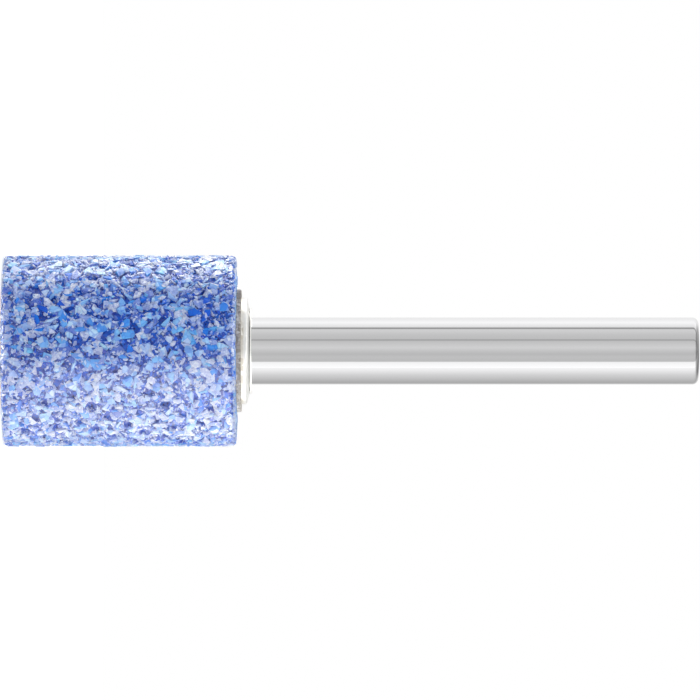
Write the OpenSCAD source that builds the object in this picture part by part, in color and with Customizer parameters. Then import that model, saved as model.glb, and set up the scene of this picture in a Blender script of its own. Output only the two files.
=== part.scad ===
// Cylindrical mounted point: a vitrified abrasive head bonded onto a ground steel shank.
// It stands on the head's flat front face, with the shank straight up along +Z.
// The origin is the centre of that front face.

/* [Abrasive head] */
// Diameter of the head
head_d = 17.2; // [14:0.1:40]
// Length of the head from its front face to its rear face
head_l = 20.9; // [16:0.1:60]
// Rounding of the head's front rim
front_rim_r = 0.45; // [0.1:0.05:1]
// Rounding of the head's rear rim
rear_rim_r = 0.55; // [0.1:0.05:1]
// Distance between the open pores, the larger gaps between the abrasive grains
pore_pitch = 2; // [1.6:0.1:4]
// Mean width of a pore at its mouth
pore_d = 1.2; // [0.6:0.1:1.4]
// Mean depth of a pore
pore_depth = 0.5; // [0.2:0.05:0.7]

/* [Bonding cement] */
// Cement between the knurled tang and the wall of the bore, measured along the radius
cement_gap = 0.9; // [0.4:0.1:1.5]
// Cement between the tip of the tang and the floor of the bore
cement_floor = 0.8; // [0.3:0.1:2]
// How far the squeezed-out ring spreads over the rear face, past the mouth of the bore
ring_spread = 2; // [1.5:0.1:3]
// Height of the squeezed-out ring above the rear face
ring_h = 0.4; // [0.2:0.05:0.8]
// Rounding of the ring's outer edge
ring_edge_r = 0.15; // [0.05:0.05:0.2]

/* [Shank collar] */
// How far the collar stands out from the shank, measured along the radius
collar_w = 1.77; // [1.2:0.01:2.2]
// Height of the collar's straight outer wall
collar_wall_h = 0.5; // [0.3:0.05:1]
// Rise of the sloping rear face from the wall to the lip
collar_slope_h = 0.2; // [0.1:0.05:0.5]
// Rounding where the outer wall meets the sloping rear face
collar_edge_r = 0.12; // [0.05:0.01:0.2]
// How far the lip stands out from the shank, measured along the radius
lip_w = 0.82; // [0.5:0.01:1.1]
// Height of the lip above the foot of its groove
lip_h = 0.2; // [0.15:0.05:0.5]
// Width of the fine groove between the sloping face and the lip
lip_groove_w = 0.08; // [0.05:0.01:0.12]
// Depth of that groove, measured along the radius
lip_groove_depth = 0.25; // [0.1:0.05:0.4]

/* [Steel shank] */
// Diameter of the shank, the size that the chuck clamps
shank_d = 6; // [5:0.5:8]
// Free length of the shank, from the collar's lip to its end
shank_free_l = 40; // [20:1:80]
// Rounding of the shank's free end
shank_end_r = 0.5; // [0.1:0.05:1]
// Depth of the shoulder where the tang is turned down below the shank, along the radius
shoulder_depth = 0.4; // [0.2:0.05:0.8]
// How far the tang reaches into the head, below the rear face
tang_l = 12; // [9:0.5:13]
// Chamfer at the tip of the tang
tang_chamfer = 0.5; // [0.2:0.1:1]
// Number of ridges of the straight knurl on the tang
knurl_count = 20; // [12:1:30]
// Depth of the knurl, measured along the radius
knurl_depth = 0.3; // [0.1:0.05:0.4]
// How far the knurl's crests lie below the plain seat of the collar
knurl_set = 0.05; // [0.02:0.01:0.1]
// Number of ring grooves that lock the tang against pulling out
lock_count = 3; // [1:1:4]
// Width of a lock groove along the shank
lock_w = 0.8; // [0.4:0.1:1.2]
// Depth of a lock groove, measured from the seat of the collar
lock_depth = 0.6; // [0.4:0.05:0.8]
// Spacing of the lock grooves, and the distance of the lowest from the tip
lock_pitch = 2.6; // [1.6:0.1:2.8]

/* [Hidden] */
$fn = 96;

// A cut runs this far past the face that it opens
cut_past = 1;

// A pore is a pit with a few flat walls. Its floor is a share of its mouth, and its cut runs a little past the wall
pore_sides = 5;
pore_floor_share = 0.55;
pore_past = 0.15;
// Turning by the golden angle from each pore to the next spreads them evenly, without rows
golden_turn = 180 * (3 - sqrt(5));

head_r = head_d / 2;
shank_r = shank_d / 2;
seat_r = shank_r - shoulder_depth;
crest_r = seat_r - knurl_set;
valley_r = crest_r - knurl_depth;
bore_r = seat_r + cement_gap;
ring_r = bore_r + ring_spread;
collar_r = shank_r + collar_w;
lip_r = shank_r + lip_w;

rear_z = head_l;
ring_z = rear_z + ring_h;
wall_z = ring_z + collar_wall_h;
slope_z = wall_z + collar_slope_h;
lip_z = slope_z + lip_h;
end_z = lip_z + shank_free_l;
tip_z = rear_z - tang_l;
floor_z = tip_z - cement_floor;

// The part of a corner that lies outside a round of radius r, whose centre is at the origin. The corner
// points to +X and +Y, between an upright wall and a face that rises inwards by the angle lean.
module corner_waste(r, lean = 0) {
    reach = r + cut_past;
    difference() {
        polygon([[0, 0], [reach, 0], [reach, reach], reach * [sin(lean), cos(lean)]]);
        circle(r = r);
    }
}

// A rectangle from the axis out to radius r and from z0 to z1, with its two outer corners rounded.
module rod_section(r, z0, z1, low_r, high_r) {
    difference() {
        translate([0, z0]) square([r, z1 - z0]);
        if (low_r > 0) translate([r - low_r, z0 + low_r]) mirror([0, 1]) corner_waste(low_r);
        if (high_r > 0) translate([r - high_r, z1 - high_r]) corner_waste(high_r);
    }
}

// The bore of the head from its floor up to the height top.
module bore(top) {
    translate([0, 0, floor_z]) cylinder(r = bore_r, h = top - floor_z);
}

// The star section of the straight knurl, with a crest and a valley for each ridge.
module knurl_section() {
    half_step = 180 / knurl_count;
    polygon([
        for (i = [0 : 2 * knurl_count - 1])
            (i % 2 == 0 ? crest_r : valley_r) * [cos(i * half_step), sin(i * half_step)]
    ]);
}

// One ring groove round the tang, with its lower edge at height z.
module lock_groove(z) {
    translate([0, 0, z]) difference() {
        cylinder(r = shank_r, h = lock_w);
        translate([0, 0, -cut_past]) cylinder(r = seat_r - lock_depth, h = lock_w + 2 * cut_past);
    }
}

// The knurled and grooved end of the shank, from its chamfered tip up to the height top.
module tang(top) {
    length = top - tip_z;
    tip_r = crest_r - tang_chamfer;
    difference() {
        translate([0, 0, tip_z]) intersection() {
            linear_extrude(height = length) knurl_section();
            cylinder(r1 = tip_r, r2 = tip_r + length, h = length);
        }
        for (i = [1 : lock_count]) lock_groove(tip_z + i * lock_pitch);
    }
}

// A number from low to high that differs from each pore to the next, for the pore with the number k.
function varied(k, low, high) = low + (high - low) * (k * golden_turn / 360 % 1);

// The pit of pore number k, in a face through the origin that looks to +Z.
module pore(k) {
    mouth_r = pore_d / 2 * varied(k, 0.8, 1.2);
    depth = pore_depth * varied(7 * k, 0.8, 1.2);
    floor_r = mouth_r * pore_floor_share;
    past_r = mouth_r + (mouth_r - floor_r) * pore_past / depth;
    rotate(varied(11 * k, 0, 360)) translate([0, 0, -depth])
        cylinder(r1 = floor_r, r2 = past_r, h = depth + pore_past, $fn = pore_sides);
}

// Pores all round the head's wall, clear of both rims.
module wall_pores() {
    low = front_rim_r + pore_d;
    high = rear_z - rear_rim_r - pore_d;
    count = floor(PI * head_d * (high - low) / pow(pore_pitch, 2));
    for (k = [0 : count - 1])
        translate([0, 0, low + (k + 0.5) / count * (high - low)])
            rotate(k * golden_turn) translate([head_r, 0, 0]) rotate([0, 90, 0]) pore(k);
}

// Pores over a flat ring-shaped face that looks to +Z, spread evenly between two radii.
module face_pores(inner_r, outer_r) {
    ring_area = pow(outer_r, 2) - pow(inner_r, 2);
    count = floor(PI * ring_area / pow(pore_pitch, 2));
    for (k = [0 : count - 1])
        rotate(k * golden_turn) translate([sqrt(pow(inner_r, 2) + (k + 0.5) / count * ring_area), 0, 0]) pore(k);
}

// The grinding body: one pressed and fired piece with a blind bore from its rear face. The open pores between
// its grains clear the chips. The larger ones are cut here.
module abrasive_head() {
    color([0.55, 0.66, 0.86]) difference() {
        rotate_extrude() rod_section(head_r, 0, rear_z, front_rim_r, rear_rim_r);
        bore(rear_z + cut_past);
        wall_pores();
        rotate([180, 0, 0]) face_pores(pore_d, head_r - front_rim_r - pore_d);
        translate([0, 0, rear_z]) face_pores(ring_r + pore_d, head_r - rear_rim_r - pore_d);
    }
}

// The cast filling of the bore, keyed round the tang, with the ring that was squeezed out of it.
module bonding_cement() {
    color([0.80, 0.77, 0.71]) difference() {
        union() {
            bore(rear_z);
            rotate_extrude() rod_section(ring_r, rear_z, ring_z, 0, ring_edge_r);
        }
        tang(ring_z + cut_past);
    }
}

// The collar's half section: outer wall, sloping rear face, fine groove and lip.
module collar_section() {
    lean = atan2(collar_slope_h, collar_r - lip_r);
    edge_reach = collar_edge_r * tan((90 - lean) / 2);
    difference() {
        polygon([
            [0, ring_z],
            [collar_r, ring_z],
            [collar_r, wall_z],
            [lip_r, slope_z],
            [lip_r, lip_z],
            [0, lip_z]
        ]);
        translate([lip_r - lip_groove_depth, slope_z])
            square([lip_groove_depth + cut_past, lip_groove_w]);
        translate([collar_r - collar_edge_r, wall_z - edge_reach]) corner_waste(collar_edge_r, lean);
    }
}

// The stepped collar that sits on the cement ring and butts against the shoulder of the shank.
module shank_collar() {
    color([0.93, 0.93, 0.90]) difference() {
        rotate_extrude() collar_section();
        translate([0, 0, ring_z - cut_past]) cylinder(r = seat_r, h = lip_z - ring_z + 2 * cut_past);
    }
}

// The ground shank with its rounded free end, the plain seat of the collar and the keyed tang.
module steel_shank() {
    color([0.74, 0.75, 0.76]) union() {
        tang(lip_z);
        translate([0, 0, ring_z]) cylinder(r = seat_r, h = lip_z - ring_z + cut_past);
        rotate_extrude() rod_section(shank_r, lip_z, end_z, 0, shank_end_r);
    }
}

abrasive_head();
bonding_cement();
shank_collar();
steel_shank();
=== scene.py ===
# %% [markdown]
# A mounted point is a small grinding tool: a cylinder of abrasive grains, fired in a glassy bond, that is
# cemented onto a steel shank. This lesson dresses its four CAD solids in Blender. Most of the work goes
# into the head, because its look is thousands of angular blue, white and clear grains. Everything is in
# metres and in the CAD frame: the tool stands on its head, the shank points up along +Z and the origin is
# the middle of the head's front face.

# %% Load the frame
import math

import bmesh
import bpy
import numpy as np
from mathutils import Matrix, Vector


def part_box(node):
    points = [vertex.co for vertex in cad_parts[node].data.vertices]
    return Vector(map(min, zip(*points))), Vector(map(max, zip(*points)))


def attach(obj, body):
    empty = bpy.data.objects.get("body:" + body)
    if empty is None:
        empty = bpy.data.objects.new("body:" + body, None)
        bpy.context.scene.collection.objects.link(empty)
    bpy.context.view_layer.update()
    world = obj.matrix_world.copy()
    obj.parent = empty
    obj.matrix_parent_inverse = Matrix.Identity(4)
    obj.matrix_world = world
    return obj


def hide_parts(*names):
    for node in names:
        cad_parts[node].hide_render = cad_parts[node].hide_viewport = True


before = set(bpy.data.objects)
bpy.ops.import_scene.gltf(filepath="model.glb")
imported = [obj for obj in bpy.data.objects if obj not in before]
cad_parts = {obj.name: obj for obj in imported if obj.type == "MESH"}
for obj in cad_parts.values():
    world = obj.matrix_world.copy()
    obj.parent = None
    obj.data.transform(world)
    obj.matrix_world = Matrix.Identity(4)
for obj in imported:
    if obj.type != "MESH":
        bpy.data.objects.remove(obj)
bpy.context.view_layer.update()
MM = 0.001

head_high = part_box("abrasive_head")[1]
ring_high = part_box("bonding_cement")[1]
collar_low, collar_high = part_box("shank_collar")
shank_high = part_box("steel_shank")[1]
head_r = head_high.x
head_l = head_high.z
ring_r = ring_high.x
shank_end = shank_high.z
print(f"head {2 * head_r / MM:.1f} x {head_l / MM:.1f} mm, whole tool {shank_end / MM:.1f} mm long")

# %% [markdown]
# The photograph looks square onto the side of the tool, with the shank pointing right. The CAD model
# stands upright, so the camera is rolled a quarter turn: its right is the frame's +Z and its up is -X.
# The faint bulge of the head's ends in the photograph puts the camera about 65 cm away, so a long lens
# gives the same gentle perspective.

# %% Camera
PHOTO_PX = 700
PX_PER_MM = 11.16
CAMERA_DISTANCE = 650 * MM
FRONT_FACE_PX = 3.85
AXIS_BELOW_CENTRE_PX = 0.9
SENSOR = 36.0
CLIP_NEAR = 0.01
CLIP_FAR = 20.0

frame_width = PHOTO_PX / PX_PER_MM * MM
centre_z = (PHOTO_PX / 2 - FRONT_FACE_PX) / PX_PER_MM * MM
camera_data = bpy.data.cameras.new("photo_camera")
camera_data.sensor_width = SENSOR
camera_data.lens = SENSOR * CAMERA_DISTANCE / frame_width
camera_data.clip_start = CLIP_NEAR
camera_data.clip_end = CLIP_FAR
camera = bpy.data.objects.new("photo_camera", camera_data)
right = Vector((0, 0, 1))
up = Vector((-1, 0, 0))
back = Vector((0, -1, 0))
place = back * CAMERA_DISTANCE + right * centre_z + up * (AXIS_BELOW_CENTRE_PX / PX_PER_MM * MM)
camera.matrix_world = Matrix.Translation(place) @ Matrix((right, up, back)).transposed().to_4x4()
bpy.context.scene.collection.objects.link(camera)
bpy.context.scene.camera = camera
bpy.context.scene.view_settings.view_transform = "Standard"
print(f"camera lens {camera_data.lens:.0f} mm, {CAMERA_DISTANCE / MM:.0f} mm from the axis")


# %% [markdown]
# Shaders and Geometry Nodes are both trees of nodes, and every tree below is built with a few small
# helpers. They could be drawn by hand in the node editor, but a script shows each value and can be run
# again. The first helpers add a node and set its inputs, link two sockets, and calculate.

# %% Node helpers
def feed(tree, node, name, value):
    """Sets the input called name, or number name, to a value or links a socket to it."""
    socket = node.inputs[int(name)] if str(name).isdigit() else node.inputs[name]
    if isinstance(value, bpy.types.NodeSocket):
        tree.links.new(value, socket)
    else:
        socket.default_value = value


def add_node(tree, kind, settings=None, **inputs):
    """Adds a node. settings are its properties, and inputs are values or sockets by input name."""
    node = tree.nodes.new(kind)
    for name, value in (settings or {}).items():
        setattr(node, name, value)
    for name, value in inputs.items():
        feed(tree, node, name.replace("_", " "), value)
    return node


def maths(tree, operation, first, second=0.0, third=0.0):
    """One step of arithmetic on up to three numbers."""
    node = add_node(tree, "ShaderNodeMath", {"operation": operation})
    for index, value in enumerate((first, second, third)):
        feed(tree, node, index, value)
    return node.outputs[0]


def vector_maths(tree, operation, first, second=None, scale=None):
    """One step of arithmetic on one or two vectors, or on a vector and a scale."""
    node = add_node(tree, "ShaderNodeVectorMath", {"operation": operation})
    feed(tree, node, 0, first)
    if second is not None:
        feed(tree, node, 1, second)
    if scale is not None:
        feed(tree, node, "Scale", scale)
    return node.outputs["Value"] if operation in ("LENGTH", "DOT_PRODUCT") else node.outputs["Vector"]


# %% [markdown]
# Tones and colours need a few more. Colours are written as they look on a screen, because that is how
# they are picked, and turned into Blender's linear values once. The other helpers stretch a range of
# numbers, mix two colours and fill a colour ramp.

# %% Colour helpers
def linear(colour):
    """An 8-bit screen colour as linear RGBA."""
    levels = [c / 255 for c in colour]
    return [c / 12.92 if c <= 0.04045 else ((c + 0.055) / 1.055) ** 2.4 for c in levels] + [1.0]


def map_range(tree, value, start, stop, low=0.0, high=1.0, curve="LINEAR"):
    """Maps the range from start to stop onto low to high, and holds its ends."""
    node = add_node(tree, "ShaderNodeMapRange", {"interpolation_type": curve}, Value=value)
    for index, limit in enumerate((start, stop, low, high), start=1):
        feed(tree, node, index, limit)
    return node.outputs[0]


def blend(tree, factor, first, second):
    """Mixes two colours by factor."""
    node = add_node(tree, "ShaderNodeMix", {"data_type": "RGBA"})
    for index, value in ((0, factor), (6, first), (7, second)):
        feed(tree, node, index, value)
    return node.outputs[2]


def ramp(tree, factor, stops):
    """A colour ramp over stops, a list of (position, linear colour)."""
    node = add_node(tree, "ShaderNodeValToRGB", Fac=factor)
    band = node.color_ramp
    while len(band.elements) < len(stops):
        band.elements.new(1.0)
    for element, (position, colour) in zip(band.elements, stops):
        element.position = position
        element.color = colour
    return node.outputs["Color"]


def tint_ramp(tree, factor, stops):
    """A colour ramp over stops, a list of (position, screen colour)."""
    return ramp(tree, factor, [(position, linear(colour)) for position, colour in stops])


# %% [markdown]
# The studio is a white tent. The polished shank mirrors its walls as lengthwise bands: light grey in
# front, with thin dark gaps between the panels. Cards round the tool could give the same, but they would
# have to be hidden from the camera. A ramp over the direction round the tool holds the walls instead, as
# shades of grey. The tent's end beyond the shank is darker, and that draws the rounding of the shank's
# end.

# %% Tent walls
WALL_STOPS = [  # degrees round the tool, 0 towards the camera and + towards -X, with the wall's level
    (-180, 0.90), (-143, 0.50), (-118, 0.66), (-92, 0.85), (-80, 1.00), (-66, 1.18), (-40, 1.00),
    (-36, 0.66), (-21, 0.70), (-11, 0.64), (-1, 0.72), (11, 0.84), (31, 0.71), (35, 0.67), (37, 0.42),
    (39, 0.42), (41, 0.67), (57, 0.72), (75, 0.84), (80, 0.82), (83, 0.38), (87, 0.38), (91, 1.00),
    (115, 1.25), (137, 1.10), (180, 0.90),
]
END_FROM = 0.45  # the height of a direction of length 1, where the tent's end begins
END_FULL = 0.80
END_LEVEL = 0.42


def wall_tone(tree, direction):
    """The wall's level in a direction from the tool's axis."""
    flat = add_node(tree, "ShaderNodeSeparateXYZ", Vector=direction).outputs
    to_up = maths(tree, "MULTIPLY", flat["X"], -1.0)
    to_camera = maths(tree, "MULTIPLY", flat["Y"], -1.0)
    angle = maths(tree, "ARCTAN2", to_up, to_camera)
    turn = maths(tree, "MULTIPLY_ADD", angle, 0.5 / math.pi, 0.5)
    stops = [(degrees / 360 + 0.5, (level, level, level, 1.0)) for degrees, level in WALL_STOPS]
    end = map_range(tree, flat["Z"], END_FROM, END_FULL, 1.0, END_LEVEL, "SMOOTHSTEP")
    return vector_maths(tree, "SCALE", ramp(tree, turn, stops), scale=end)


print(f"tent with {len(WALL_STOPS)} wall stops")

# %% [markdown]
# One world has three tasks here, and the Light Path node tells them apart. The camera sees plain white.
# Glossy rays see the tent's walls. All other rays bring an even white light at a level of about 1, at
# which a colour renders much as it is written.

# %% World
WHITE = (1, 1, 1, 1)
DIFFUSE_LEVEL = 1.02


def seen_or_mirrored(tree):
    """Is Camera Ray or Is Transmission Ray or Is Glossy Ray, and Is Glossy Ray alone."""
    path = add_node(tree, "ShaderNodeLightPath").outputs
    seen = maths(tree, "MAXIMUM", path["Is Camera Ray"], path["Is Transmission Ray"])
    return maths(tree, "MAXIMUM", seen, path["Is Glossy Ray"]), path["Is Glossy Ray"]


def mix_shaders(tree, factor, first, second):
    """Shows the first shader where factor is 0, and the second where it is 1."""
    node = add_node(tree, "ShaderNodeMixShader", Fac=factor)
    feed(tree, node, 1, first.outputs[0])
    feed(tree, node, 2, second.outputs[0])
    return node


def build_world():
    """The white tent round the tool."""
    world = bpy.data.worlds.new("white_tent")
    bpy.context.scene.world = world
    world.use_nodes = True
    tree = world.node_tree
    tree.nodes.clear()
    seen, mirrored = seen_or_mirrored(tree)
    walls = wall_tone(tree, add_node(tree, "ShaderNodeTexCoord").outputs["Generated"])
    shown = blend(tree, mirrored, WHITE, walls)
    light = add_node(tree, "ShaderNodeBackground", Color=WHITE, Strength=DIFFUSE_LEVEL)
    backdrop = add_node(tree, "ShaderNodeBackground", Color=shown, Strength=1.0)
    both = mix_shaders(tree, seen, light, backdrop)
    add_node(tree, "ShaderNodeOutputWorld", Surface=both.outputs[0])
    return world


print("world:", build_world().name)

# %% [markdown]
# The floor is a white disc under the tool that keeps its soft shadow. A little glow, for seen rays only,
# holds the paint at white beside the shadow. Glossy rays see the tent's walls there too. Without them the
# bands on the shank would break off where its mirror image of the floor begins.

# %% Floor
FLOOR_RADIUS = 260 * MM
FLOOR_SEGMENTS = 96
FLOOR_PAINT = (0.9, 0.9, 0.9, 1)
FLOOR_GLOW = 0.38


def floor_material():
    """White paint with a glow, which glossy rays see as the tent's walls."""
    material = bpy.data.materials.new("white_floor")
    material.use_nodes = True
    tree = material.node_tree
    tree.nodes.clear()
    seen, mirrored = seen_or_mirrored(tree)
    paint = add_node(tree, "ShaderNodeBsdfDiffuse", Color=FLOOR_PAINT)
    strength = maths(tree, "MULTIPLY", seen, FLOOR_GLOW)
    glow = add_node(tree, "ShaderNodeEmission", Color=WHITE, Strength=strength)
    white = add_node(tree, "ShaderNodeAddShader")
    feed(tree, white, 0, paint.outputs[0])
    feed(tree, white, 1, glow.outputs[0])
    walls = wall_tone(tree, add_node(tree, "ShaderNodeTexCoord").outputs["Object"])
    banded = add_node(tree, "ShaderNodeEmission", Color=walls, Strength=1.0)
    both = mix_shaders(tree, mirrored, white, banded)
    add_node(tree, "ShaderNodeOutputMaterial", Surface=both.outputs[0])
    return material


def build_floor():
    """The disc that the tool stands on."""
    mesh = bpy.data.meshes.new("floor")
    disc = bmesh.new()
    bmesh.ops.create_circle(disc, cap_ends=True, segments=FLOOR_SEGMENTS, radius=FLOOR_RADIUS)
    disc.to_mesh(mesh)
    disc.free()
    mesh.materials.append(floor_material())
    floor = bpy.data.objects.new("floor", mesh)
    bpy.context.scene.collection.objects.link(floor)


build_floor()
print(f"floor {2 * FLOOR_RADIUS / MM:.0f} mm across")


# %% [markdown]
# One weak soft box in front adds a bright band to the shank. Four more lamps make the pale veil that a
# rough, glassy head shows where it is seen at a flat angle: two stand at its sides, and two in line with
# the tool. They only add gloss, cast no shadow and leave the shank alone, which would mirror them as hard
# stripes. Light linking does that, with a collection of the pieces that a lamp reaches. The lamps on the
# far side and above the shank have a collection without the cement, because it lies in the shade of the
# collar there.

# %% Soft boxes
LAMP_DISTANCE = 0.45
LAMP_HEIGHT = 0.60
VEIL_TINT = (1.0, 0.975, 0.91)
HAZE_LIGHT = bpy.data.collections.new("hazy_pieces")
RIM_LIGHT = bpy.data.collections.new("rim_lit_pieces")


def soft_box(name, degrees, width, height, radiance, rise=0, tint=(1, 1, 1), gloss_for=None):
    """An area lamp that faces the middle of the tool, at an angle round it from the camera and a rise above
    the level. With gloss_for, it only adds gloss to the pieces in that collection."""
    lamp = bpy.data.lights.new(name, "AREA")
    lamp.shape = "RECTANGLE"
    lamp.size = width
    lamp.size_y = height
    lamp.energy = radiance * math.pi * width * height
    lamp.color = tint
    lamp.use_shadow = gloss_for is None
    holder = bpy.data.objects.new(name, lamp)
    turn = math.radians(degrees)
    lift = math.radians(rise)
    level = math.cos(lift)
    outward = Vector((-math.sin(turn) * level, -math.cos(turn) * level, math.sin(lift)))
    holder.location = outward * LAMP_DISTANCE + Vector((0, 0, centre_z))
    holder.visible_camera = False
    holder.rotation_mode = "QUATERNION"
    holder.rotation_quaternion = outward.to_track_quat("Z", "Y")
    bpy.context.scene.collection.objects.link(holder)
    if gloss_for:
        holder.visible_diffuse = False
        holder.light_linking.receiver_collection = gloss_for
    print(f"{name}: {width:.2f} x {height:.2f} m, at {degrees} and up {rise} degrees, {lamp.energy:.2f} W")


soft_box("key_box", degrees=-50, width=0.19, height=LAMP_HEIGHT, radiance=0.20)
soft_box("haze_box", degrees=-74, width=1.30, height=LAMP_HEIGHT, radiance=16.6, tint=VEIL_TINT,
         gloss_for=HAZE_LIGHT)
soft_box("haze_rim", degrees=118, width=0.40, height=LAMP_HEIGHT, radiance=13.5, tint=VEIL_TINT,
         gloss_for=RIM_LIGHT)
soft_box("haze_top", degrees=0, width=0.40, height=0.40, radiance=14.0, rise=90, gloss_for=RIM_LIGHT)
soft_box("haze_low", degrees=0, width=0.40, height=0.40, radiance=60.0, rise=-90, gloss_for=HAZE_LIGHT)


# %% [markdown]
# Grains, bond, cement and collar share one effect: a fine crystal structure inside the material. Its
# cells differ in tone, a few of them carry painted glints, darker seams run between them, and a soft
# cloudiness lies over them all. Each cell also has a facet, a normal of its own, as broken crystal has. A
# picture of real grains could be wrapped round the head, but it would stretch at the rims. It is one shader
# group of Voronoi cells and noise in the frame's own coordinates, and each material places it with its own
# cell size and tilt.

# %% Crystal group
# Cells whose second random share lies above this get painted glints
GLINT_FROM = 0.72
SEAM_WIDTH = 0.16
CLOUD_DETAIL = 3.0
CLOUD_ROUGHNESS = 0.6
MIDDLE = (0.5, 0.5, 0.5)
CRYSTAL_INPUTS = {"Cells per metre": 4000.0, "Tilt": 0.0}
CRYSTAL_OUTPUTS = {"Cell": "Float", "Spark": "Float", "Seam": "Float", "Cloud": "Float", "Facet": "Vector"}


def shader_group(name, inputs, outputs):
    """A new shader group, with float inputs given as name and default, and outputs as name and kind."""
    tree = bpy.data.node_groups.new(name, "ShaderNodeTree")
    for label, default in inputs.items():
        socket = tree.interface.new_socket(name=label, in_out="INPUT", socket_type="NodeSocketFloat")
        socket.default_value = default
    for label, kind in outputs.items():
        tree.interface.new_socket(name=label, in_out="OUTPUT", socket_type="NodeSocket" + kind)
    return tree, tree.nodes.new("NodeGroupInput"), tree.nodes.new("NodeGroupOutput")


def build_crystal():
    """Cells, painted glints, seams, clouds and facets."""
    tree, given, made = shader_group("crystal", CRYSTAL_INPUTS, CRYSTAL_OUTPUTS)
    place = add_node(tree, "ShaderNodeTexCoord").outputs["Object"]
    scale = given.outputs["Cells per metre"]
    cells = add_node(tree, "ShaderNodeTexVoronoi", Vector=place, Scale=scale)
    edges = add_node(tree, "ShaderNodeTexVoronoi", {"feature": "DISTANCE_TO_EDGE"}, Vector=place, Scale=scale)
    cloud = add_node(tree, "ShaderNodeTexNoise", Vector=place, Scale=scale, Detail=CLOUD_DETAIL,
                     Roughness=CLOUD_ROUGHNESS)
    shares = add_node(tree, "ShaderNodeSeparateColor", Color=cells.outputs["Color"]).outputs
    lean = vector_maths(tree, "SUBTRACT", cells.outputs["Color"], MIDDLE)
    lean = vector_maths(tree, "SCALE", lean, scale=given.outputs["Tilt"])
    face = add_node(tree, "ShaderNodeNewGeometry").outputs["Normal"]
    results = {
        "Cell": shares["Red"],
        "Spark": map_range(tree, shares["Green"], GLINT_FROM, 1.0),
        "Seam": map_range(tree, edges.outputs["Distance"], 0.0, SEAM_WIDTH, 1.0, 0.0),
        "Cloud": cloud.outputs["Fac"],
        "Facet": vector_maths(tree, "NORMALIZE", vector_maths(tree, "ADD", face, lean)),
    }
    for label, result in results.items():
        feed(tree, made, label, result)
    return tree


CRYSTAL = build_crystal()
print("shader group:", CRYSTAL.name, "with", ", ".join(CRYSTAL_OUTPUTS))


# %% [markdown]
# Every material starts from Blender's Principled shader. A few more helpers place the crystal group in
# it, read what Geometry Nodes stored on the mesh, and turn a tone into a bumpy surface.

# %% Material helpers
def new_material(name):
    """A material with a Principled shader. Returns the material, its tree and the shader."""
    material = bpy.data.materials.new(name)
    material.use_nodes = True
    tree = material.node_tree
    return material, tree, tree.nodes["Principled BSDF"]


def set_constants(shader, values):
    """Sets what is the same all over the surface on the shader's own sockets."""
    for name, value in values.items():
        shader.inputs[name].default_value = value


def crystal_in(tree, cells, tilt=0.0):
    """Places the crystal group and returns its outputs."""
    node = add_node(tree, "ShaderNodeGroup", {"node_tree": CRYSTAL}, Cells_per_metre=cells, Tilt=tilt)
    return node.outputs


def attribute(tree, name, output="Fac"):
    """What is stored on the mesh under a name."""
    return add_node(tree, "ShaderNodeAttribute", {"attribute_name": name}).outputs[output]


def span(tree, value, limits):
    """Stretches a 0 to 1 value over a pair of limits."""
    return map_range(tree, value, 0.0, 1.0, *limits)


def bump(tree, height, distance, normal=None):
    """A normal that follows a height, over the plain normal or another one."""
    node = add_node(tree, "ShaderNodeBump", Height=height, Distance=distance)
    if normal is not None:
        feed(tree, node, "Normal", normal)
    return node.outputs["Normal"]


# %% [markdown]
# The head holds four sorts of grain. Chips of a blue ceramic are the largest, and their flat broken faces
# run from cobalt to sky blue. Clear grains of fused alumina are white, lavender or pale blue, and look
# busy because light wanders inside them. Fine grains of all these tints fill the gaps, and deep blue ones
# lie at the bottom. Each grain carries a random tint as an attribute, so one material serves thousands of
# grains. Inside a grain, painted shade on some crystal cells and painted glints on a few others stand in
# for facets that miss or catch the light. A little subsurface light makes them look glassy at much less
# cost than real glass.

# %% Grain materials
CHIP_STOPS = [
    (0.00, (4, 84, 208)), (0.12, (24, 132, 236)), (0.28, (104, 184, 250)), (0.55, (156, 208, 255)),
    (0.80, (196, 226, 255)), (0.90, (122, 200, 250)), (1.00, (222, 238, 255)),
]
CLEAR_STOPS = [
    (0.00, (84, 116, 204)), (0.15, (132, 160, 228)), (0.35, (172, 194, 240)), (0.60, (204, 218, 248)),
    (0.75, (220, 230, 250)), (0.88, (208, 219, 244)), (1.00, (232, 240, 252)),
]
FINE_STOPS = [
    (0.00, (8, 68, 206)), (0.20, (48, 116, 230)), (0.40, (104, 156, 244)), (0.60, (160, 192, 250)),
    (0.75, (196, 214, 250)), (0.90, (194, 211, 246)), (1.00, (230, 240, 255)),
]
# The deep grains and the bond share these tints. Their dark blues are partly their own colour and partly
# painted shade of the gaps they lie in.
DEEP_AND_SHADE_STOPS = [
    (0.00, (4, 26, 108)), (0.25, (0, 70, 184)), (0.50, (0, 94, 206)), (0.75, (44, 84, 188)),
    (0.90, (80, 92, 178)), (1.00, (124, 156, 216)),
]
# Painted shade: some inner cells of a grain are mixed towards the next two tints, as on facets turned away
# from the light, and the darker seams between cells take them too. The third tint is a painted glint.
CHIP_PAINTED_SHADE = (0, 82, 206)
GRAIN_PAINTED_SHADE = (54, 88, 192)
PAINTED_GLINT = (228, 237, 255)
SEAM_SHARE = 0.4
GRAIN_ROUGHNESS = (0.50, 0.80)
GRAIN_DEPTH = {
    "Subsurface Weight": 0.6, "Subsurface Radius": (1.0, 1.0, 1.0), "Subsurface Scale": 0.3 * MM,
}
# The dull gloss over the whole head is a coat, so the grains have no other gloss
SKIN_COAT = {"Coat Weight": 1.0, "Coat Roughness": 0.36, "Coat IOR": 1.3, "Specular IOR Level": 0.0}


def skin_coat(tree, shader):
    """The dull gloss of the whole head: a coat whose normal is that of the smooth skin."""
    feed(tree, shader, "Coat Normal", attribute(tree, "skin_normal", "Vector"))
    set_constants(shader, SKIN_COAT)


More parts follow.
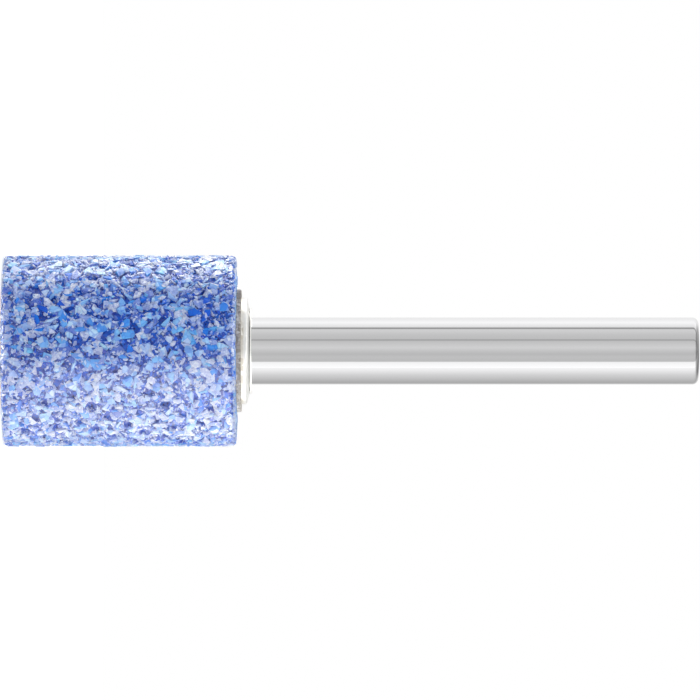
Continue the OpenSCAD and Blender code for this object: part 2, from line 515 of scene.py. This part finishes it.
def grain_material(name, stops, cells, tilt, shade_tint, shade, glint_share, bump_height):
    """Grains coloured by their own tint. Painted shade darkens some inner cells towards a shade tint, as on
    facets turned away from the light, and darker seams run between them. Painted glints light up a few cells.
    """
    material, tree, shader = new_material(name)
    crystal = crystal_in(tree, cells, tilt)
    colour = tint_ramp(tree, attribute(tree, "grain_tint"), stops)
    inner = maths(tree, "MULTIPLY", crystal["Cell"], crystal["Cloud"])
    dark = maths(tree, "MAXIMUM", inner, maths(tree, "MULTIPLY", crystal["Seam"], SEAM_SHARE))
    lit = maths(tree, "MULTIPLY", crystal["Spark"], glint_share)
    # Painted shade on some inner cells and along the seams, then painted glints on a few cells
    colour = blend(tree, maths(tree, "MULTIPLY", dark, shade), colour, linear(shade_tint))
    colour = blend(tree, lit, colour, linear(PAINTED_GLINT))
    feed(tree, shader, "Base Color", colour)
    feed(tree, shader, "Roughness", span(tree, crystal["Cell"], GRAIN_ROUGHNESS))
    feed(tree, shader, "Normal", bump(tree, crystal["Cloud"], bump_height, crystal["Facet"]))
    skin_coat(tree, shader)
    set_constants(shader, GRAIN_DEPTH)
    return material


CHIP = grain_material("blue_ceramic_grain", CHIP_STOPS, cells=1700.0, tilt=0.8, shade_tint=CHIP_PAINTED_SHADE,
                      shade=1.2, glint_share=0.6, bump_height=0.03 * MM)
CLEAR = grain_material("clear_alumina_grain", CLEAR_STOPS, cells=4600.0, tilt=0.7, shade_tint=GRAIN_PAINTED_SHADE,
                       shade=1.05, glint_share=0.7, bump_height=0.15 * MM)
FINE = grain_material("fine_grain", FINE_STOPS, cells=5200.0, tilt=0.6, shade_tint=GRAIN_PAINTED_SHADE,
                      shade=0.8, glint_share=0.5, bump_height=0.10 * MM)
DEEP = grain_material("deep_blue_grain", DEEP_AND_SHADE_STOPS, cells=5200.0, tilt=0.6, shade_tint=GRAIN_PAINTED_SHADE,
                      shade=0.6, glint_share=0.2, bump_height=0.10 * MM)
print("grain materials:", CHIP.name, CLEAR.name, FINE.name, DEEP.name)

# %% [markdown]
# The glassy bond holds the grains together and only shows in the gaps between them. It is made of the
# same crystal group in deep blue, partly its own colour and partly painted shade of the gaps, with strongly
# tilted facets, so that it looks broken although its mesh is smooth.

# %% Bond material
BOND_CELLS = 4500.0
BOND_TILT = 1.2
BOND_ROUGHNESS = (0.3, 0.6)
BOND_BUMP = 0.10 * MM


def bond_material():
    """The deep blue glass between the grains, its dark blue partly painted shade of the gaps."""
    material, tree, shader = new_material("glassy_bond")
    crystal = crystal_in(tree, BOND_CELLS, BOND_TILT)
    feed(tree, shader, "Base Color", tint_ramp(tree, crystal["Cell"], DEEP_AND_SHADE_STOPS))
    feed(tree, shader, "Roughness", span(tree, crystal["Cell"], BOND_ROUGHNESS))
    feed(tree, shader, "Normal", bump(tree, crystal["Cloud"], BOND_BUMP, crystal["Facet"]))
    skin_coat(tree, shader)
    return material


BOND = bond_material()
print("bond material:", BOND.name)


# %% [markdown]
# A Geometry Nodes tree lays the grains, because thousands of them follow one rule. Each grain is a broken
# chip: the convex hull of a few random points near a ball, so every shape is angular and has few faces.
# Eight such shapes are enough, because turn, size and stretch differ from grain to grain. All that is
# random has a fixed seed.

# %% Grain shapes
SHAPES = 8
CORNER_LEAST = 0.78
SEEDS = {"turn": 3, "size": 4, "stretch": 5, "shape": 6, "tint": 7, "set": 8, "corner": 10, "reach": 40}
RANDOM_SOCKETS = {"FLOAT_VECTOR": (0, 1, 0), "FLOAT": (2, 3, 1), "INT": (4, 5, 2)}
SEED_SOCKET = 8


def random_value(tree, kind, low, high, seed):
    """A random vector or number between low and high, for each point or grain."""
    node = add_node(tree, "FunctionNodeRandomValue", {"data_type": kind})
    low_socket, high_socket, result = RANDOM_SOCKETS[kind]
    for index, value in ((low_socket, low), (high_socket, high), (SEED_SOCKET, seed)):
        feed(tree, node, index, value)
    return node.outputs[result]


def grain_shapes(tree, corners):
    """Instances of a few different chips, each the hull of random points near a unit ball."""
    joined = tree.nodes.new("GeometryNodeJoinGeometry")
    for shape in range(SHAPES):
        spot = random_value(tree, "FLOAT_VECTOR", (-1, -1, -1), (1, 1, 1), SEEDS["corner"] + shape)
        reach = random_value(tree, "FLOAT", CORNER_LEAST, 1.0, SEEDS["reach"] + shape)
        spot = vector_maths(tree, "SCALE", vector_maths(tree, "NORMALIZE", spot), scale=reach)
        cloud = add_node(tree, "GeometryNodePoints", Count=corners, Position=spot)
        hull = add_node(tree, "GeometryNodeConvexHull", Geometry=cloud.outputs[0])
        one = add_node(tree, "GeometryNodeGeometryToInstance", Geometry=hull.outputs[0])
        tree.links.new(one.outputs[0], joined.inputs[0])
    return joined.outputs[0]


# %% [markdown]
# The tree needs to know where a point lies in the head: how deep under the wall and under the nearer end
# face. From that follow the points where no grain goes, and the way that the smooth outer skin faces. The
# skin's direction is stored for the dull coat of the materials, because a worn head shines as one smooth
# body.

# %% Place in the head
def head_place(tree, given, place=None):
    """Where a point lies in the head: its height, its direction and distance from the axis, and its depth
    under the wall and under the nearer end face."""
    place = place or add_node(tree, "GeometryNodeInputPosition").outputs[0]
    spot = add_node(tree, "ShaderNodeSeparateXYZ", Vector=place).outputs
    flat = add_node(tree, "ShaderNodeCombineXYZ", X=spot["X"], Y=spot["Y"]).outputs[0]
    radius = vector_maths(tree, "LENGTH", flat)
    under_wall = maths(tree, "SUBTRACT", given["Head radius"], radius)
    under_rear = maths(tree, "SUBTRACT", given["Head length"], spot["Z"])
    return spot["Z"], flat, radius, under_wall, maths(tree, "MINIMUM", under_rear, spot["Z"])


def depth_under(tree, given, place=None):
    """The depth of a point under the skin."""
    _, _, _, under_wall, under_end = head_place(tree, given, place)
    return maths(tree, "MINIMUM", under_wall, under_end)


def unwanted(tree, given):
    """True for points in the bore and too near the rims. The bore lies higher than its own radius, and the
    front face lower."""
    height, _, radius, under_wall, under_end = head_place(tree, given)
    near_axis = maths(tree, "LESS_THAN", radius, given["Bore"])
    in_bore = maths(tree, "MULTIPLY", near_axis, maths(tree, "GREATER_THAN", height, given["Bore"]))
    from_rim = maths(tree, "MAXIMUM", under_wall, under_end)
    on_rim = maths(tree, "LESS_THAN", from_rim, given["Rim clear"])
    return maths(tree, "MAXIMUM", in_bore, on_rim)


def skin_normal(tree, given):
    """The direction that the head's smooth outer skin faces near a point, turning softly over the rims."""
    height, flat, _, under_wall, under_end = head_place(tree, given)
    lead = maths(tree, "DIVIDE", maths(tree, "SUBTRACT", under_end, under_wall), given["Rim blend"])
    on_wall = add_node(tree, "ShaderNodeClamp", Value=maths(tree, "ADD", lead, 0.5)).outputs[0]
    middle = maths(tree, "MULTIPLY", given["Head length"], 0.5)
    end_side = maths(tree, "SIGN", maths(tree, "SUBTRACT", height, middle))
    on_end = maths(tree, "MULTIPLY", end_side, maths(tree, "SUBTRACT", 1.0, on_wall))
    along = add_node(tree, "ShaderNodeCombineXYZ", Z=on_end).outputs[0]
    across = vector_maths(tree, "SCALE", vector_maths(tree, "NORMALIZE", flat), scale=on_wall)
    return vector_maths(tree, "NORMALIZE", vector_maths(tree, "ADD", across, along))


# %% [markdown]
# A new head is dressed: a diamond cuts its grains flush. Here each corner that stands out of the CAD
# solid goes back onto the nearest place of its surface, each grain to a slightly different depth, so flat
# faces lie flush with the head, and the pores of the solid stay open. The bond is the solid itself, drawn
# in a little. Cutting the grains with a Boolean would do the same, but it is slow and leaves slivers.

# %% Dressing and bond
DRESS_LEAST = 0.005 * MM
BOND_LEAST = 0.06 * MM


def stored(tree, name):
    """A number that was stored for each grain."""
    node = add_node(tree, "GeometryNodeInputNamedAttribute", {"data_type": "FLOAT"}, Name=name)
    return node.outputs[0]


def dressed(tree, given, solid):
    """The place of each corner: what stands out of the solid goes back onto its surface, or just below."""
    place = add_node(tree, "GeometryNodeInputPosition").outputs[0]
    normal = add_node(tree, "GeometryNodeFieldOnDomain", {"data_type": "FLOAT_VECTOR", "domain": "FACE"},
                      Value=add_node(tree, "GeometryNodeInputNormal").outputs[0]).outputs[0]
    facing = add_node(tree, "GeometryNodeSampleNearestSurface", {"data_type": "FLOAT_VECTOR"},
                      Mesh=solid, Value=normal, Sample_Position=place).outputs["Value"]
    nearest = add_node(tree, "GeometryNodeProximity", {"target_element": "FACES"})
    feed(tree, nearest, 0, solid)
    surface = nearest.outputs["Position"]
    height = vector_maths(tree, "DOT_PRODUCT", vector_maths(tree, "SUBTRACT", place, surface), facing)
    below = maths(tree, "MULTIPLY_ADD", stored(tree, "grain_set"), given["Dress depth"], given["Skin"])
    below = maths(tree, "SUBTRACT", below, depth_under(tree, given, surface))
    below = maths(tree, "MAXIMUM", below, DRESS_LEAST)
    too_high = maths(tree, "GREATER_THAN", maths(tree, "ADD", height, below), 0.0)
    flush = vector_maths(tree, "SUBTRACT", surface, vector_maths(tree, "SCALE", facing, scale=below))
    move = vector_maths(tree, "SCALE", vector_maths(tree, "SUBTRACT", flush, place), scale=too_high)
    return vector_maths(tree, "ADD", place, move)


def bond_bed(tree, given, solid):
    """The bond between the grains: the solid, with its skin drawn in to Bond depth and its pits deepened."""
    depth = maths(tree, "SUBTRACT", given["Bond depth"], depth_under(tree, given))
    depth = maths(tree, "MAXIMUM", depth, BOND_LEAST)
    back_in = maths(tree, "MULTIPLY", depth, -1.0)
    inward = vector_maths(tree, "SCALE", skin_normal(tree, given), scale=back_in)
    bed = add_node(tree, "GeometryNodeSetPosition", Geometry=solid, Offset=inward).outputs[0]
    return add_node(tree, "GeometryNodeSetMaterial", Geometry=bed, Material=given["Bond"]).outputs[0]


# %% [markdown]
# In the head, grains lie side by side at an even distance. So the tree scatters points over the CAD solid
# that keep a least spacing, drops each a little below the surface and sets a chip on it. A tint and a
# depth are stored for each grain. The material reads the first, and the dressing the second.

# %% Grains on points
TRIES_PER_SPACING = 4.0
FULL_TURN = 6.283
STRETCH_LEAST = (0.9, 0.72, 0.55)
STRETCH_MOST = (1.2, 1.0, 0.85)


def store(tree, geometry, name, value, kind="FLOAT", domain="INSTANCE"):
    """Keeps a value for each grain, or for each corner, as a named attribute."""
    node = add_node(tree, "GeometryNodeStoreNamedAttribute", {"data_type": kind, "domain": domain})
    for label, given in (("Geometry", geometry), ("Name", name), ("Value", value)):
        feed(tree, node, label, given)
    return node.outputs[0]


def sunk_points(tree, given, solid):
    """Points on the solid, an even distance apart, each dropped by a random depth."""
    area = maths(tree, "MULTIPLY", given["Spacing"], given["Spacing"])
    density = maths(tree, "DIVIDE", TRIES_PER_SPACING, area)
    spots = add_node(tree, "GeometryNodeDistributePointsOnFaces", {"distribute_method": "POISSON"},
                     Mesh=solid, Distance_Min=given["Spacing"], Density_Max=density, Seed=given["Seed"])
    outer = add_node(tree, "GeometryNodeDeleteGeometry", {"domain": "POINT"},
                     Geometry=spots.outputs["Points"], Selection=unwanted(tree, given))
    sink = random_value(tree, "FLOAT", given["Sink low"], given["Sink high"], given["Seed"])
    drop = vector_maths(tree, "SCALE", spots.outputs["Normal"], scale=maths(tree, "MULTIPLY", sink, -1.0))
    return add_node(tree, "GeometryNodeSetPosition", Geometry=outer.outputs[0], Offset=drop).outputs[0]


def grains_on(tree, given, points):
    """A chip on each point, with a random shape, turn, size and stretch, and its stored tint and depth."""
    turn = random_value(tree, "FLOAT_VECTOR", (0, 0, 0), (FULL_TURN, FULL_TURN, FULL_TURN), SEEDS["turn"])
    low = maths(tree, "SUBTRACT", 1.0, given["Size spread"])
    high = maths(tree, "ADD", 1.0, given["Size spread"])
    half = maths(tree, "MULTIPLY", given["Grain size"], 0.5)
    size = maths(tree, "MULTIPLY", random_value(tree, "FLOAT", low, high, SEEDS["size"]), half)
    stretch = random_value(tree, "FLOAT_VECTOR", STRETCH_LEAST, STRETCH_MOST, SEEDS["stretch"])
    picked = random_value(tree, "INT", 0, SHAPES - 1, SEEDS["shape"])
    grains = add_node(tree, "GeometryNodeInstanceOnPoints", Points=points, Pick_Instance=True,
                      Instance=grain_shapes(tree, given["Corners"]), Instance_Index=picked, Rotation=turn,
                      Scale=vector_maths(tree, "SCALE", stretch, scale=size)).outputs[0]
    grains = store(tree, grains, "grain_tint", random_value(tree, "FLOAT", 0.0, 1.0, SEEDS["tint"]))
    return store(tree, grains, "grain_set", random_value(tree, "FLOAT", 0.0, 1.0, SEEDS["set"]))


# %% [markdown]
# Now the tree itself. Its inputs are the sizes of the head and of one sort of grain, so one tree serves
# all four sorts. The grains are realized, because the export drops instances, and then dressed and
# painted. One of the four sorts brings the bond along.

# %% Grain tree
GRAIN_INPUTS = {
    "Object": ["Solid"],
    "Float": [
        "Bore", "Head radius", "Head length", "Rim blend", "Rim clear", "Spacing", "Grain size",
        "Size spread", "Sink low", "Sink high", "Dress depth", "Skin", "Bond depth",
    ],
    "Int": ["Corners", "Seed"],
    "Bool": ["Keep bed"],
    "Material": ["Material", "Bond"],
}


def build_grain_tree():
    """The whole tree, from the CAD solid to dressed and painted grains."""
    tree = bpy.data.node_groups.new("grain_bed", "GeometryNodeTree")
    for kind, labels in GRAIN_INPUTS.items():
        for label in labels:
            tree.interface.new_socket(name=label, in_out="INPUT", socket_type="NodeSocket" + kind)
    tree.interface.new_socket(name="Geometry", in_out="OUTPUT", socket_type="NodeSocketGeometry")
    given = tree.nodes.new("NodeGroupInput").outputs
    solid = add_node(tree, "GeometryNodeObjectInfo", {"transform_space": "RELATIVE"},
                     Object=given["Solid"]).outputs["Geometry"]
    grains = grains_on(tree, given, sunk_points(tree, given, solid))
    real = add_node(tree, "GeometryNodeRealizeInstances", Geometry=grains).outputs[0]
    flush = add_node(tree, "GeometryNodeSetPosition", Geometry=real, Position=dressed(tree, given, solid))
    painted = add_node(tree, "GeometryNodeSetMaterial", Geometry=flush.outputs[0], Material=given["Material"])
    bed = add_node(tree, "GeometryNodeSwitch", {"input_type": "GEOMETRY"}, Switch=given["Keep bed"])
    feed(tree, bed, "True", bond_bed(tree, given, solid))
    joined = tree.nodes.new("GeometryNodeJoinGeometry")
    tree.links.new(painted.outputs[0], joined.inputs[0])
    tree.links.new(bed.outputs[0], joined.inputs[0])
    laid = store(tree, joined.outputs[0], "skin_normal", skin_normal(tree, given), "FLOAT_VECTOR", "POINT")
    out = tree.nodes.new("NodeGroupOutput")
    tree.links.new(laid, out.inputs[0])
    return tree


GRAIN_TREE = build_grain_tree()
print(f"grain tree: {len(GRAIN_TREE.nodes)} nodes, {SHAPES} grain shapes")


# %% [markdown]
# When the model is exported, each material is baked into a picture, and a UV map says which part of it
# belongs to which face. Blender's own unwrapping is slow on thousands of loose grains. Each grain gets a
# cell of a square grid instead, where it lies flat as seen from outside, with its hidden faces in a half
# of their own.

# %% Bake map
SLANT = (0.36, 0.48, 0.80)
CELL_REACH = 0.42
TINY = 1e-9


def read_items(items, field, width=1, kind=np.float32):
    """One field of a mesh's points, corners or faces as an array, with a row for each."""
    values = np.empty(len(items) * width, dtype=kind)
    items.foreach_get(field, values)
    return values.reshape(-1, width) if width > 1 else values


def unit(vectors):
    """The vectors at length 1."""
    return vectors / np.maximum(np.linalg.norm(vectors, axis=1, keepdims=True), TINY)


def add_bake_map(mesh):
    """A UV map with a cell for each grain: faces that look out in one half, and the rest in the other."""
    tint = read_items(mesh.attributes["grain_tint"].data, "value")
    place = read_items(mesh.attributes["position"].data, "vector", 3)
    normal = read_items(mesh.attributes["skin_normal"].data, "vector", 3)
    grain = np.unique(tint, return_inverse=True)[1]
    count = grain.max() + 1

    def total(values):
        return np.stack([np.bincount(grain, column) for column in values.T], axis=1)

    outward = unit(total(normal))
    across = unit(np.cross(outward, SLANT))
    along = np.cross(outward, across)
    offset = place - (total(place) / np.bincount(grain)[:, None])[grain]
    flat = np.stack([(offset * axis[grain]).sum(1) for axis in (across, along)], axis=1)
    reach = np.full((count, 2), TINY)
    np.maximum.at(reach, grain, np.abs(flat))
    inside = 0.5 + CELL_REACH * flat / reach[grain]

    corner = read_items(mesh.loops, "vertex_index", kind=np.int32)
    sides = read_items(mesh.polygons, "loop_total", kind=np.int32)
    facing = read_items(mesh.polygons, "normal", 3)
    first = corner[np.cumsum(sides) - sides]
    looks_in = (facing * outward[grain[first]]).sum(1) < 0
    half = np.repeat(looks_in, sides)
    cells = math.ceil(math.sqrt(count))
    column = (grain[corner] % cells + 0.5 * (inside[corner, 0] + half)) / cells
    row = (grain[corner] // cells + inside[corner, 1]) / cells
    bake_map = mesh.uv_layers.new(name="OFBake")
    bake_map.data.foreach_set("uv", np.stack([column, row], axis=1).astype(np.float32).ravel())
    return count


# %% [markdown]
# Four runs of the tree make the four sorts of grain. The blue chips lie flush with the skin and stay
# clear of the rims, which would show as notches. The clear and the fine grains lie a little lower, and
# the deep blue ones only show in the gaps. Each result becomes a plain mesh that takes the place of the
# head's CAD solid.

# %% Lay the grains
UNDER_RING = 1.0 * MM  # how far the grains reach under the cement ring
GRAINS_ON_RIM = -1.0 * MM  # a negative clearance lets grains onto the rims
HEAD_SHAPE = {
    "Solid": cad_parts["abrasive_head"], "Bore": ring_r - UNDER_RING, "Head radius": head_r,
    "Head length": head_l, "Rim blend": 1.0 * MM, "Rim clear": GRAINS_ON_RIM, "Skin": 0.005 * MM,
    "Bond": BOND, "Bond depth": 0.32 * MM,
}


def lay_grains(name, material, **sizes):
    """Runs the grain tree over the head's solid and keeps the grains as a plain mesh object."""
    piece = bpy.data.objects.new(name, bpy.data.meshes.new(name))
    bpy.context.scene.collection.objects.link(piece)
    modifier = piece.modifiers.new("grain_bed", "NODES")
    modifier.node_group = GRAIN_TREE
    own = {label.replace("_", " "): value for label, value in sizes.items()}
    values = HEAD_SHAPE | own | {"Material": material}
    for item in GRAIN_TREE.interface.items_tree:
        if item.name in values and item.in_out == "INPUT":
            modifier[item.identifier] = values[item.name]
    depsgraph = bpy.context.evaluated_depsgraph_get()
    mesh = bpy.data.meshes.new_from_object(piece.evaluated_get(depsgraph))
    piece.modifiers.remove(modifier)
    piece.data = mesh
    mesh.name = name
    count = add_bake_map(mesh)
    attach(piece, "root")
    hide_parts("abrasive_head")
    HAZE_LIGHT.objects.link(piece)
    RIM_LIGHT.objects.link(piece)
    print(f"{name}: {count} grains, {sum(len(p.vertices) - 2 for p in mesh.polygons)} triangles")


lay_grains("blue_chips", CHIP, Spacing=0.82 * MM, Grain_size=1.5 * MM, Size_spread=0.3, Corners=9,
           Sink_low=0.12 * MM, Sink_high=0.48 * MM, Dress_depth=0.05 * MM, Rim_clear=0.6 * MM,
           Keep_bed=True, Seed=2)
lay_grains("clear_grains", CLEAR, Spacing=0.66 * MM, Grain_size=1.3 * MM, Size_spread=0.35, Corners=10,
           Sink_low=0.20 * MM, Sink_high=0.56 * MM, Skin=0.02 * MM, Dress_depth=0.06 * MM,
           Keep_bed=False, Seed=5)
lay_grains("fine_grains", FINE, Spacing=0.32 * MM, Grain_size=0.62 * MM, Size_spread=0.4, Corners=7,
           Sink_low=0.14 * MM, Sink_high=0.40 * MM, Skin=0.04 * MM, Dress_depth=0.08 * MM,
           Keep_bed=False, Seed=9)
lay_grains("deep_grains", DEEP, Spacing=0.32 * MM, Grain_size=0.78 * MM, Size_spread=0.35, Corners=7,
           Sink_low=0.24 * MM, Sink_high=0.46 * MM, Skin=0.17 * MM, Dress_depth=0.10 * MM,
           Keep_bed=False, Seed=14)


# %% [markdown]
# The three smaller pieces keep their CAD solids and get finishes. The cement ring is what was squeezed
# out of the bore: beige, dull and gritty. Loose grit could be modelled, but at this size tone and bump
# are enough.

# %% Cement
CEMENT_CELLS = 2600.0
CEMENT_STOPS = [(0.0, (128, 122, 116)), (0.4, (168, 163, 156)), (1.0, (206, 202, 195))]
CEMENT_DARK_SPOT = (108, 101, 95)
CEMENT_ROUGHNESS = (0.6, 0.95)
CEMENT_BUMP = 0.05 * MM
CEMENT_GLOSS = {"Specular IOR Level": 0.26}


def cement_material():
    """Beige grit with darker spots along the cell seams."""
    material, tree, shader = new_material("beige_cement")
    crystal = crystal_in(tree, CEMENT_CELLS)
    grit = tint_ramp(tree, crystal["Cell"], CEMENT_STOPS)
    # Darker spots along the cell seams, where the cloud is high
    pits = maths(tree, "MULTIPLY", crystal["Cloud"], crystal["Seam"])
    feed(tree, shader, "Base Color", blend(tree, pits, grit, linear(CEMENT_DARK_SPOT)))
    feed(tree, shader, "Roughness", span(tree, crystal["Cloud"], CEMENT_ROUGHNESS))
    feed(tree, shader, "Normal", bump(tree, crystal["Cell"], CEMENT_BUMP))
    set_constants(shader, CEMENT_GLOSS)
    return material


def finish(node_name, material):
    """Gives a CAD piece its material."""
    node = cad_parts[node_name]
    node.material_slots[0].material = material
    print(f"{node_name}: {material.name}")
    return node


HAZE_LIGHT.objects.link(finish("bonding_cement", cement_material()))

# %% [markdown]
# The collar is smooth, off-white and satin, with cement smeared onto its foot and painted shade in the fine
# groove under its lip. Both lie at a known height, so a soft band over the height places them. No unwrapping
# is needed.

# %% Collar
COLLAR_CELLS = 1800.0
COLLAR_STOPS = [(0.3, (230, 230, 225)), (0.7, (242, 242, 238))]
COLLAR_ROUGHNESS = (0.24, 0.34)
COLLAR_BUMP = 0.006 * MM
COLLAR_GLOSS = {"Specular IOR Level": 0.30}
CEMENT_SMEAR = (196, 190, 176)
SMEAR_HEIGHT = 0.12 * MM
SMEAR_FADE = 0.18 * MM
SMEAR_SHARE = (-0.2, 1.0)
# Painted shade: the fine groove under the lip is coloured dark grey
GROOVE_PAINTED_SHADE = (80, 80, 80)
LIP_HEIGHT = 0.20 * MM
GROOVE_WIDTH = 0.08 * MM
GROOVE_FADE = 0.02 * MM


def height_band(tree, low, high, fade):
    """1 between two heights in the frame and 0 outside them, with soft edges."""
    place = add_node(tree, "ShaderNodeTexCoord").outputs["Object"]
    height = add_node(tree, "ShaderNodeSeparateXYZ", Vector=place).outputs["Z"]
    above = map_range(tree, height, low - fade, low)
    below = map_range(tree, height, high + fade, high)
    return maths(tree, "MINIMUM", above, below)


def collar_material():
    """Off-white satin with a smeared foot and painted shade in its groove."""
    material, tree, shader = new_material("off_white_collar")
    crystal = crystal_in(tree, COLLAR_CELLS)
    tone = tint_ramp(tree, crystal["Cloud"], COLLAR_STOPS)
    foot = height_band(tree, collar_low.z, collar_low.z + SMEAR_HEIGHT, SMEAR_FADE)
    smear = maths(tree, "MULTIPLY", foot, span(tree, crystal["Cell"], SMEAR_SHARE))
    tone = blend(tree, smear, tone, linear(CEMENT_SMEAR))
    # Painted shade in the groove under the lip
    groove_low = collar_high.z - LIP_HEIGHT
    groove = height_band(tree, groove_low, groove_low + GROOVE_WIDTH, GROOVE_FADE)
    feed(tree, shader, "Base Color", blend(tree, groove, tone, linear(GROOVE_PAINTED_SHADE)))
    feed(tree, shader, "Roughness", span(tree, crystal["Cloud"], COLLAR_ROUGHNESS))
    feed(tree, shader, "Normal", bump(tree, crystal["Cloud"], COLLAR_BUMP))
    set_constants(shader, COLLAR_GLOSS)
    return material


collar = finish("shank_collar", collar_material())
HAZE_LIGHT.objects.link(collar)
RIM_LIGHT.objects.link(collar)

# %% [markdown]
# The shank is ground and polished steel, nearly a mirror, and takes its look from the tent. Its flat end
# is cut and left duller. A darker tone there, by height, keeps the end apart from a white background.

# %% Steel
STEEL = (224, 224, 225)
CUT_END = (158, 158, 160)
CUT_END_DEPTH = 0.03 * MM
STEEL_FINISH = {"Roughness": 0.05, "Metallic": 1.0}


def steel_material():
    """Polished steel with a duller end."""
    material, tree, shader = new_material("ground_steel")
    cut_end = height_band(tree, shank_end - CUT_END_DEPTH, shank_end, CUT_END_DEPTH)
    feed(tree, shader, "Base Color", blend(tree, cut_end, linear(STEEL), linear(CUT_END)))
    set_constants(shader, STEEL_FINISH)
    return material


finish("steel_shank", steel_material())
